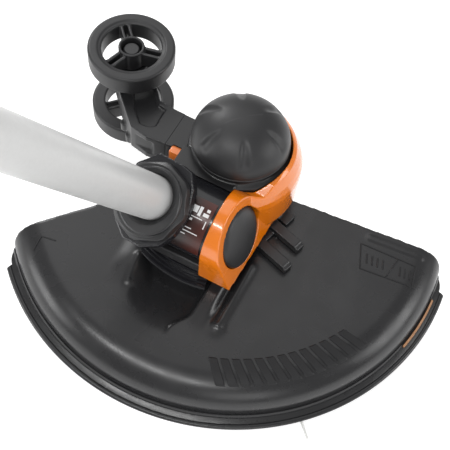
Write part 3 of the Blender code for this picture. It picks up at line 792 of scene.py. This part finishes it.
def make_sector(paint):
    """The foot in front of the base, stepped down towards its edge in fine rings."""
    rise = (BASE_TOP - BASE_LOW - 1.8) / len(SECTOR_RINGS)
    profile = [(36, BASE_LOW), (83, BASE_LOW), (83, BASE_LOW + 1.4)]
    for number, radius in enumerate(SECTOR_RINGS):
        foot = BASE_LOW + 1.8 + rise * number
        profile += [(radius, foot), (radius - 0.5, foot + rise), (radius - 1.0, foot + rise)]
    profile += [(72.5, BASE_TOP), (36, BASE_TOP)]
    foot = lathe(profile, 90, start=SECTOR[0], sweep=SECTOR[1] - SECTOR[0])
    finish_piece(foot, "sector_foot", paint["gloss_black"], "head", (), 20)


def make_motor_base(paint):
    """The round base plate with two stepped latch rails and the blocks behind them."""
    base = cylinder(40, BASE_LOW, BASE_TOP)
    turn = Matrix.Rotation(math.radians(RAIL_HEADING), 4, "Z")
    for beside, end in RAILS:
        rail = box((20, beside - RAIL_HALF, BASE_LOW), (end, beside + RAIL_HALF, BASE_TOP - 0.3), turn)
        step = box((end - 3.0, beside - 5, BASE_TOP - 1.2), (end + 1, beside + 5, BASE_TOP + 5), turn)
        base = join(base, cut(rail, step))
    base = join(
        base,
        box((36, 2.5, BASE_LOW), (47.5, 12.5, BASE_TOP - 2.4), turn),
        box((40, -17.6, BASE_LOW), (46, -6.4, BASE_TOP - 3.4), turn),
    )
    base = moulding(cut(base, cylinder(SHAFT_HOLE, 40, 60)), 0.65, 2)
    finish_piece(base, "base_plate", paint["shell"], "head", ["motor_base"], 60)


def barrel_room(clearance):
    """The space of the neck's barrel, up to the right cheek."""
    return cylinder(BARREL_RADIUS + clearance, -60, CHEEK_RIGHT[0] - 0.01, PIVOT_FRAME)


def make_housing(paint):
    """The motor's cup, joined to the block, cradle and two cheeks that hold the tilt axis."""
    cup = [(0, HOUSING_BOTTOM), (HOUSING_RADIUS, HOUSING_BOTTOM), (HOUSING_RADIUS, BLOCK_TOP - 1.6),
           (HOUSING_NECK, BLOCK_TOP), (HOUSING_NECK, HOUSING_TOP), (0, HOUSING_TOP)]
    left, right = BLOCK_SIDES
    cup = cut(lathe(cup), barrel_room(1.3))
    block = cut(box((left, -46, HOUSING_BOTTOM), (right, -18, BLOCK_TOP)), barrel_room(0.5))
    cradle = cut(box((left, -74, HOUSING_BOTTOM), (right, -30, 60)), barrel_room(1.3))
    housing = join(cup, block, cradle)
    for sides, radius, web_top in ((CHEEK_RIGHT, 23.5, CHEEK_WEB_TOP), (CHEEK_LEFT, 12.0, PIVOT_Z)):
        low, high = sides
        housing = join(
            housing,
            cylinder(radius, low, high, PIVOT_FRAME),
            box((low, PIVOT_Y, HOUSING_BOTTOM), (high, -22, web_top)),
            box((low, -58, HOUSING_BOTTOM), (high, -30, 62)),
        )
    floor_top = PIVOT_Z - BARREL_RADIUS - GAP
    housing = join(housing, box((CHEEK_LEFT[0], -58, HOUSING_BOTTOM), (CHEEK_RIGHT[1], -22, floor_top)))
    for height in range(60, 91, 6):
        groove = tube(HOUSING_RADIUS - 0.7, HOUSING_RADIUS + 2, height, height + 1.6)
        housing = cut(housing, common(groove, box((-60, 6, 40), (20, 60, 110))))
    cavity = cut(
        lathe([(0, 55.5), (31.4, 55.5), (31.4, 93), (28, 95), (28, 105), (0, 105)]),
        box((-60, -60, 50), (60, -22.4, 110)),
    )
    housing = cut(housing, cavity, cylinder(10, 40, 60), pin_bore(PIVOT_FRAME, -60, 30))
    housing = moulding(housing, 0.7, 2)
    finish_piece(housing, "housing_shell", paint["shell"], "head", ["motor_housing"], 60)


DOME_FLUTES = 6
FLUTE_HALF = (2.4, 5.4)  # half width at the flute's inner and outer end
FLUTE_REACH = (14.0, 31.0)  # distance of those ends from the axis
FLUTE_DEPTH = 1.2


def flute_rule(points):
    """Sinks shallow fan-shaped flutes into the dome, each with one steep side and one gentle side."""
    x, y, z = points.T
    out = np.hypot(x, y)
    depth = np.zeros_like(out)
    start, end = FLUTE_REACH
    for i in range(DOME_FLUTES):
        heading = math.radians(360 / DOME_FLUTES * i)
        along = x * math.cos(heading) + y * math.sin(heading)
        beside = -x * math.sin(heading) + y * math.cos(heading)
        half = np.interp(along, FLUTE_REACH, FLUTE_HALF)
        share = beside / half
        wall = np.clip(np.where(share > 0, (1 - share) / 1.1, (1 + share) / 0.8), 0, 1)
        reach = ramp(along, start, start + 8) * (1 - ramp(along, end - 3.0, end))
        depth = np.maximum(depth, FLUTE_DEPTH * wall * wall * (3 - 2 * wall) * reach)
    outer = ramp(z, DOME_BOTTOM + 0.5, DOME_BOTTOM + 2.0)
    tall = DOME_TOP - DOME_BOTTOM
    normal = np.stack((x / DOME_RADIUS ** 2, y / DOME_RADIUS ** 2, (z - DOME_BOTTOM) / tall ** 2))
    normal = normal / np.maximum(np.linalg.norm(normal, axis=0), 1e-9)
    return points - (normal * depth * outer).T


def make_dome(paint):
    spring = DOME_BOTTOM + 0.8
    tall = DOME_TOP - spring
    steps = 44
    outer = [(DOME_RADIUS, DOME_BOTTOM), (DOME_RADIUS + 0.3, DOME_BOTTOM + 0.3),
             (DOME_RADIUS + 0.1, DOME_BOTTOM + 0.7), (DOME_RADIUS - 0.1, DOME_BOTTOM + 0.8)]
    outer += elbow(DOME_RADIUS, tall, (0, spring), [85 - 85 * i / steps for i in range(steps)])
    outer += [(0, DOME_TOP)]
    bore = DOME_RADIUS - 3
    roof = 3.4
    inner = [(0, DOME_TOP - roof)] + elbow(bore, tall - roof, (0, spring), range(10, 91, 10))
    dome = lathe(outer + inner + [(bore, DOME_BOTTOM)], 220)
    reshape(dome, flute_rule)
    finish_piece(dome, "dome_shell", paint["dome"], "head", ["dome_cap"], 30)


# ---- cover and tilt button

def face_frame():
    """Frame on the cover's outer face, local Z along its outward normal."""
    lean, heading = math.radians(FACE_LEAN), math.radians(FACE_HEADING)
    normal = (math.cos(lean) * math.cos(heading), math.cos(lean) * math.sin(heading), math.sin(lean))
    return frame_along(FACE_POINT, normal, (0, 1, 0))


def cover_outline():
    """Side view of the cover in (Y, Z) about the tilt axis: a round top and a sharp lower front corner."""
    ring = arc(RING_RADIUS, 183, 40, 60)
    return [(160, -24), (-26.3, -24)] + ring + [(25, 15.5), (33, 20.5), (43, 23), (160, 23.5)]


def make_cover(paint):
    """The orange cover: a flat-faced side round the tilt button, and an arm that wraps the housing."""
    side = prism(cover_outline(), 12.3, 60, PIVOT_FRAME)
    side = cut(side, box((-150, -150, 0), (150, 150, 80), face_frame()))
    section = [(COVER_BORE, 54), (41.6, 54), (43.4, 60), (43.4, 83), (42.8, 87), (41.0, 92), (37.5, 99),
               (COVER_BORE, 101.5)]
    arm = lathe(section, 80, start=-64, sweep=164)
    arm = common(arm, prism(cover_outline(), -60, 60, PIVOT_FRAME))
    cover = join(cut(side, box((0, 2, 0), (100, 200, 150)), cylinder(COVER_BORE, 0, 150)), arm)
    cover = cut(
        cover,
        cylinder(BARREL_RADIUS + 0.8, 10, CHEEK_RIGHT[1] + GAP, PIVOT_FRAME),
        box((5, -47, 40), (CHEEK_RIGHT[1] + GAP, 20, CHEEK_WEB_TOP + 4)),
        cylinder(BUTTON_RADIUS + 0.6, 10, 60, PIVOT_FRAME),
    )
    cover = moulding(cover, 0.5, 3)
    finish_piece(cover, "cover_shell", paint["cover"], "head", ["orange_cover"], 60)


def leaning_frame():
    """The tilt axis' frame, sheared so that what is square to it leans like the cover's outer face."""
    lean = Matrix.Identity(4)
    lean[2][1] = -math.tan(math.radians(FACE_LEAN))
    return PIVOT_FRAME @ lean


def make_tilt_button(paint):
    """A round button whose crown leans like the face round it."""
    crown = [(BUTTON_RADIUS + 1, 26.5)] + elbow(4.0, 3.2, (BUTTON_RADIUS - 4.0, 27.0), range(85, 19, -10))
    crown += [(15.5, 30.75), (13.0, 31.4), (10.0, 31.95), (7.0, 32.35), (3.5, 32.65), (0, 32.8)]
    crown = lathe([(0, 0), (BUTTON_RADIUS + 1, 0)] + crown, 96, leaning_frame())
    button = common(cylinder(BUTTON_RADIUS, 20.9, 45, PIVOT_FRAME), crown)
    finish_piece(button, "button_cap", paint["dome"], "tilt_button", ["tilt_button"], 35)


# ---- neck, collar and shaft

# radius and heading of each corner of the neck's flange, which is deeper on the user's side
FLANGE_CORNERS = ((22.4, -5), (22.6, 15), (24.6, 38), (27.4, 60), (26.2, 78), (26.4, 99), (29.2, 115),
                  (27.6, 130), (28.6, 147), (28.0, 170), (29.5, 195), (31.6, 228), (33.2, 250),
                  (31.6, 274), (29.0, 299), (25.4, 322), (23.2, 340))


def make_neck(paint):
    """The barrel on the tilt axis with the socket for the tube and its flange."""
    boss_end = CHEEK_LEFT[1] + GAP
    barrel = lathe([(0, boss_end), (12, boss_end), (12, BARREL_LEFT), (22.5, BARREL_LEFT),
                    (BARREL_RADIUS, BARREL_LEFT + 2), (BARREL_RADIUS, BARREL_RIGHT), (0, BARREL_RIGHT)],
                   120, PIVOT_FRAME)
    socket = cylinder(SOCKET_RADIUS, 0, COLLAR[0] - GAP, TUBE_FRAME)
    flange = prism([on_circle(*corner) for corner in FLANGE_CORNERS], 24.5, COLLAR[0] - GAP, TUBE_FRAME)
    neck = join(barrel, socket, flange)
    neck = cut(
        neck,
        pin_bore(PIVOT_FRAME, -60, 30),
        cylinder(TUBE_RADIUS + GAP, TUBE_START - GAP, 60, TUBE_FRAME),
    )
    neck = moulding(neck, 0.6, 2)
    finish_piece(neck, "neck_shell", paint["gloss_black"], "neck", ["neck_housing"], 60)


def make_collar(paint):
    """An octagonal ring under a smaller round disc, both set a little towards the user."""
    low, high = COLLAR
    ring_frame = TUBE_FRAME @ Matrix.Translation((-1.2, -2.7, 0))
    disc_frame = TUBE_FRAME @ Matrix.Translation((0.8, -2.2, 0))
    ring = common(
        lathe([(0, low), (25.6, low), (25.6, 36.6), (23.0, 38.3), (0, 38.3)], 120, ring_frame),
        cylinder(26.4, low - 5, high + 5, ring_frame, 8),
    )
    disc = [(0, 38), (20.4, 38), (20.4, 39), (21.4, 39.4), (21.4, 41), (20.8, high), (0, high)]
    disc = lathe(disc, 120, disc_frame)
    bore = TUBE_RADIUS + 0.35
    funnel = [(0, low - 5), (bore, low - 5), (bore, 38.8), (18.0, high + 0.3), (0, high + 0.3)]
    funnel = lathe(funnel, 96, TUBE_FRAME)
    collar = moulding(cut(join(ring, disc), funnel), 0.4, 2)
    finish_piece(collar, "collar_ring", paint["shell"], "lock_collar", ["lock_collar"], 60)


def make_shaft(paint):
    """The lower shaft, and the plug in its far end."""
    wall = [(TUBE_BORE, TUBE_START), (TUBE_RADIUS - 0.5, TUBE_START), (TUBE_RADIUS, TUBE_START + 0.6),
            (TUBE_RADIUS, TUBE_END - 0.4), (TUBE_RADIUS - 0.4, TUBE_END), (TUBE_BORE, TUBE_END)]
    shaft = lathe(wall, 128, TUBE_FRAME)
    finish_piece(shaft, "shaft_skin", paint["tube"], "shaft", ["shaft_tube"], 30)
    low = TUBE_END + GAP
    fit = TUBE_BORE - GAP
    plug = lathe([(0, TUBE_END - 18), (fit - 0.6, TUBE_END - 18), (fit, TUBE_END - 17), (fit, low),
                  (TUBE_RADIUS, low), (TUBE_RADIUS, TUBE_END + 3.4), (TUBE_RADIUS - 0.6, TUBE_END + 4),
                  (0, TUBE_END + 4)], 96, TUBE_FRAME)
    finish_piece(plug, "end_plug", paint["shell"], "shaft", ["tube_end_plug"], 30)


LABEL_RADIUS = 25.15
LABEL_SPAN = (-8.5, 10.3)  # along the tilt axis
LABEL_ANGLES = (90, 180)  # about the tilt axis, from the +Y side


def barrel_patch(x_low, x_high, start, end, radius, thick=0.12):
    """A curved plate on the barrel between two X values and two angles about the tilt axis."""
    steps = max(2, int((end - start) / 3))
    outer = arc(radius, start, end, steps)
    inner = arc(radius - thick, end, start, steps)
    count = len(outer) + len(inner)
    points = [tuple(PIVOT_FRAME @ Vector((*p, x))) for x in (x_low, x_high) for p in outer + inner]
    faces = [tuple(range(count)), tuple(range(2 * count - 1, count - 1, -1))]
    faces += [(i, (i + 1) % count, (i + 1) % count + count, i + count) for i in range(count)]
    return points, faces


# low X, high X, first angle, last angle of each plain block and line on the label
LABEL_MARKS = (
    (-4.4, 0.6, 103, 113), (1.2, 3.2, 102, 116), (4.6, 8.4, 109, 114), (5.9, 8.1, 102, 106.5),
    (-3.0, 5.6, 119, 120.2), (-3.6, -0.4, 122.5, 126), (7.9, 8.6, 119, 131),
    (-4.8, 1.4, 137, 138.4), (-5.2, 6.4, 142.5, 144.0), (-5.2, -1.4, 148, 149.6),
)


def make_label(paint):
    base = mesh_object(*barrel_patch(*LABEL_SPAN, *LABEL_ANGLES, LABEL_RADIUS, 0.35))
    base = cut(base, cylinder(SOCKET_RADIUS + GAP, 0, 60, TUBE_FRAME))
    finish_piece(base, "label_film", paint["label"], "neck", ["rating_label"], 30)
    marks = merged([barrel_patch(*mark, LABEL_RADIUS + 0.07) for mark in LABEL_MARKS])
    finish_piece(marks, "label_marks", paint["marks"], "neck", (), 30)


# ---- line head

def eyelet_frame():
    return frame_along((0, 0, EYELET_HEIGHT), (*on_circle(1.0, LINE_HEADING), 0), (0, 0, 1))


def make_drum(paint):
    drum = lathe([(SHAFT_RADIUS + GAP, 33), (40.3, 33), (40.3, 17.3), (DRUM_RADIUS - 0.3, 17.3),
                  (DRUM_RADIUS, 17.6), (DRUM_RADIUS, 34), (DRUM_RADIUS - 0.6, 35.2), (40.5, 36),
                  (SHAFT_RADIUS + GAP, 36)], 120)
    for i in range(24):
        spot = Matrix.Translation((*on_circle(DRUM_RADIUS + 0.9, LINE_HEADING + 7.5 + 15 * i), 0))
        drum = cut(drum, cylinder(1.6, 20, 32, spot, 16))
    drum = cut(drum, cylinder(3.1, 30, 50, eyelet_frame(), 24))
    finish_piece(drum, "drum_shell", paint["shell"], "spindle", ["line_drum"], 35)


def make_spool_cap(paint):
    cap = lathe([(KNOB_RADIUS + 0.7, 7), (40.2, 7), (41.4, 7.5), (43.0, 9.2), (43.2, 10), (43.2, 16.4),
                 (42.6, 17), (KNOB_RADIUS + 0.7, 17)], 120)
    for i in range(12):
        spot = Matrix.Translation((*on_circle(46.2, 30 * i), 0))
        cap = cut(cap, cylinder(4.4, 8.5, 15.5, spot, 24))
    finish_piece(cap, "cap_ring", paint["shell"], "spindle", ["spool_cap"], 35)


def make_knob(paint):
    knob = lathe([(0, 0), (31.4, 0), (32.4, 0.3), (KNOB_RADIUS - 0.4, 1.9), (KNOB_RADIUS, 2.8),
                  (KNOB_RADIUS, 14), (0, 14)], 120)
    knob = cut(knob, tube(18, 19.2, -1, 0.7))
    finish_piece(knob, "knob_shell", paint["tab"], "bump_knob", ["bump_knob"], 35)


def make_eyelet(paint):
    eyelet = lathe([(1.4, 39.6), (2.8, 39.6), (2.8, 42.9), (3.6, 42.9), (3.9, 43.2), (3.9, 43.7),
                    (3.5, 44.0), (2.0, 44.0), (1.4, 43.4)], 32, eyelet_frame())
    finish_piece(eyelet, "eyelet_ring", paint["steel"], "spindle", ["line_eyelet"], 35)


def winding_profile():
    """Section of the wound line: its outer face is a stack of round turns."""
    inner, outer, low, high = 15.8, 32.2, 21.6, 30.7
    turns = int((high - low) / (2 * LINE_RADIUS))
    pitch = (high - low) / turns
    outline = [(inner, low), (outer, low)]
    for turn in range(turns):
        middle = low + pitch * (turn + 0.5)
        outline += [(outer + LINE_RADIUS * math.cos(math.radians(a)) * 0.9,
                     middle + pitch / 2 * math.sin(math.radians(a))) for a in (-60, -20, 20, 60)]
    return outline + [(outer, high), (inner, high)]


def make_winding(paint):
    winding = lathe(winding_profile(), 72)
    finish_piece(winding, "winding", paint["nylon"], "spindle", ["line_winding"], 50)


def line_route():
    """The cutting line leaves the drum level and droops to just under the guard's rim."""
    count = 36
    points = []
    for i in range(count):
        share = i / (count - 1)
        radius = DRUM_RADIUS + 2 + (LINE_TIP - DRUM_RADIUS - 2) * share
        height = EYELET_HEIGHT - 12.6 * (1 - (1 - share) ** 1.6)
        points.append((*on_circle(radius, LINE_HEADING + 1.2 * share), height))
    return points


def make_line(paint):
    curve = bpy.data.curves.new("trimmer_line", "CURVE")
    curve.dimensions = "3D"
    curve.bevel_depth = LINE_RADIUS * MM
    curve.bevel_resolution = 4
    curve.use_fill_caps = True
    route = line_route()
    spline = curve.splines.new("POLY")
    spline.points.add(len(route) - 1)
    for point, place in zip(spline.points, route):
        point.co = (*(Vector(place) * MM), 1.0)
    line = placed("trimmer_line", curve)
    finish_piece(line, "trimmer_line", paint["nylon"], "spindle", ["cutting_line"])


# ---- arm, carrier and wheels

def make_arm(paint):
    """The arm, moulded a little past the split and cut flat there, with its release tab."""
    base = box((ARM_SPLIT - 3, -15.5, 60), (-20, 12.5, 84))
    base = cut(
        base,
        cylinder(HOUSING_RADIUS + GAP, 40, 110),
        pin_bore(ARM_FRAME, -60, -39),
        box((-42, -20, 68), (-31.7, -13.2, 90)),
    )
    base = cut(moulding(base, 0.6, 2), box((-60, -30, 40), (ARM_SPLIT + GAP, 30, 100)))
    finish_piece(base, "arm_shell", paint["shell"], "head", ["arm_base"], 60)
    tab = prism([(-20.5, 85.8), (-20.5, 69), (-17, 69), (-13.6, 70.5), (-13.6, 83.8), (-16, 85.8)],
                -41.6, -34, x_frame(0, 0))
    tab = rounded(tab, 0.7)
    finish_piece(tab, "release_tab", paint["tab"], "carrier_button", ["carrier_button"], 35)


def carrier_outline():
    """Plan of the carrier: straight beside the arm, then bent towards the wheels' axle."""
    nose = arc(13.5, 232, 40, 24, (WHEEL_X, WHEEL_Y))
    return [(ARM_SPLIT + 3, 12.5), (ARM_SPLIT + 3, -15.5), (-61, -17), (-74, -14.5), (-92, 3)] + nose + [
        (-75, 23), (-67, 14), (-57, 13)]


def make_carrier(paint):
    """The bent carrier with its hub for the axle, a shallow dip on top and two pegs below."""
    carrier = prism(carrier_outline(), 60, 84)
    axle_frame = Matrix.Translation((WHEEL_X, WHEEL_Y, 0))
    hub = cylinder(11, LOWER_WHEEL + WHEEL_WIDTH + 1.2, UPPER_WHEEL - 1.2, axle_frame)
    carrier = join(carrier, hub)
    dip = prism([(-59.5, -6.5), (-63.5, -9.0), (-70, -9.5), (-79, -1.0), (-88, 13), (-88, 26), (-76, 20),
                 (-66, 10.5), (-60.5, 9.5)], 81.2, 90)
    side = box((-70, -24, 66), (-56, -15.2, 79))
    carrier = cut(
        carrier,
        dip,
        side,
        pin_bore(ARM_FRAME, -60, -40),
        cylinder(AXLE_RADIUS + GAP, 20, 120, axle_frame),
    )
    for x, y in ((-78, -9.5), (-86, -2.5)):
        carrier = join(carrier, cylinder(3.2, 58.5, 66, Matrix.Translation((x, y, 0)), 32))
    carrier = cut(moulding(carrier, 0.65, 2), box((ARM_SPLIT, -30, 40), (-30, 30, 100)))
    finish_piece(carrier, "carrier_shell", paint["shell"], "wheel_carrier", ["wheel_carrier"], 60)


def make_wheel(where):
    """Wheel with its outer face up: rim with a stepped face, hub cup, three pairs of ribs."""
    width = WHEEL_WIDTH
    rim = lathe([(20.5, 0.6), (21, 0), (28.9, 0), (WHEEL_RADIUS, 1.2), (WHEEL_RADIUS, width - 1.2),
                 (28.9, width), (23.6, width), (23.0, width - 0.7), (21.2, width - 0.9),
                 (20.5, width - 1.6)], 120, where)
    bore = AXLE_RADIUS + GAP
    hub = lathe([(bore, 0), (9, 0), (9, width - 0.3), (8.7, width), (7.6, width), (7.3, width - 0.3),
                 (6.9, 7.2), (bore, 7.2)], 72, where)
    wheel = join(rim, hub)
    for heading in SPOKE_HEADINGS:
        turn = where @ Matrix.Rotation(math.radians(heading), 4, "Z")
        for side in (-2.6, 2.6):
            wheel = join(wheel, box((8.3, side - 1.05, 1.0), (21.3, side + 1.05, width - 1.6), turn))
    return moulding(wheel, 0.55, 2)


def make_wheels(paint):
    upper = Matrix.Translation((WHEEL_X, WHEEL_Y, UPPER_WHEEL))
    lower = Matrix.Translation((WHEEL_X, WHEEL_Y, LOWER_WHEEL + WHEEL_WIDTH))
    flipped = Matrix.Rotation(math.pi, 4, "X")
    for name, where in (("wheel_upper", upper), ("wheel_lower", lower @ flipped)):
        finish_piece(make_wheel(where), name + "_body", paint["wheel"], name, [name], 50)


# ---- pieces that keep their CAD shape

CAD_FINISH = {
    "steel": ("guard_screw_1", "guard_screw_2", "guard_screw_3", "guard_screw_4", "line_cutter",
              "cutter_screw_1", "cutter_screw_2", "motor_can", "motor_end_plate", "bearing_lower",
              "bearing_upper", "pivot_pin", "arm_pin", "motor_shaft", "bump_spring", "wheel_axle"),
    "shell": ("motor_magnets", "axle_cap_upper", "axle_cap_lower"),
    "copper": ("rotor",),
    "nylon": ("spool",),
}


def dress_cad_pieces(paint):
    for finish, names in CAD_FINISH.items():
        for name in names:
            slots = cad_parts[name].data.materials
            slots.clear()
            slots.append(paint[finish])


MAKERS = (make_line, make_guard, make_guard_pads, make_guard_marks, make_rim_reflection_strip, make_motor_base,
          make_sector, make_housing, make_dome, make_cover, make_tilt_button, make_neck, make_collar,
          make_shaft, make_label, make_drum, make_spool_cap, make_knob, make_eyelet, make_winding,
          make_arm, make_carrier, make_wheels, dress_cad_pieces)


def main():
    make_camera()
    make_floor()
    make_light()
    paint = make_materials()
    for make in MAKERS:
        make(paint)


main()
